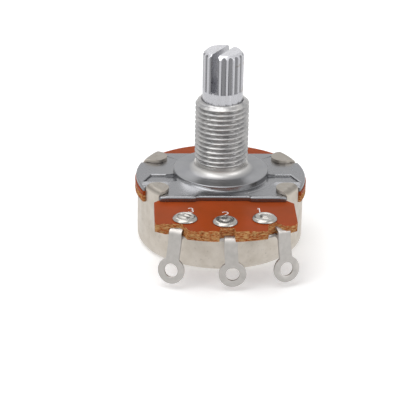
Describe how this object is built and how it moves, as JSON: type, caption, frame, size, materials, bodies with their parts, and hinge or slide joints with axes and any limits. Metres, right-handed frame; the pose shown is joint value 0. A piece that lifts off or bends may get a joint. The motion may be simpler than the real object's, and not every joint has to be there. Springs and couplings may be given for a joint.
{
  "type": "rotary potentiometer",
  "caption": "Panel-mount rotary potentiometer with a round metal case, threaded bushing, split splined shaft and riveted solder terminals.",
  "frame": {"origin": "shaft axis at the flat back of the case", "axes": "+Z along the shaft towards its splined tip, -Y towards the terminals, +X to the right seen from the terminals"},
  "size_m": [0.0258, 0.0319, 0.0299],
  "materials": {
    "tinned_case": "drawn tin-plated steel, satin, faint drawing marks",
    "phenolic_board": "phenolic paper board, glossy faces, fibrous punched edges",
    "carbon_print": "printed carbon film, matte",
    "silver_print": "printed silver film, satin",
    "zinc_casting": "nickel-plated zinc die casting, satin",
    "shaft_metal": "plated metal shaft, satin",
    "spring_steel": "oiled spring steel",
    "bronze_washer": "rolled bronze sheet",
    "black_moulding": "moulded black plastic",
    "bronze_spring": "phosphor bronze sheet",
    "rivet_metal": "tin-plated brass, bright",
    "tinned_terminal": "tin-plated brass sheet, dull"
  },
  "bodies": {
    "case": {"case_cup": "tinned_case", "element_board": "phenolic_board", "carbon_track": "carbon_print", "collector_ring": "silver_print", "end_pad_1": "silver_print", "end_pad_3": "silver_print", "bushing_plate": "zinc_casting", "rivet_1": "rivet_metal", "rivet_2": "rivet_metal", "rivet_3": "rivet_metal", "terminal_1": "tinned_terminal", "terminal_2": "tinned_terminal", "terminal_3": "tinned_terminal"},
    "rotor": {"shaft": "shaft_metal", "retaining_ring": "spring_steel", "thrust_washer": "bronze_washer", "wiper_carrier": "black_moulding", "wiper_spring": "bronze_spring"}
  },
  "joints": [
    {"name": "shaft_turn", "type": "hinge", "parent": "case", "child": "rotor", "pos_m": [0, 0, 0], "axis": [0, 0, 1], "range_deg": [-150, 150]}
  ]
}
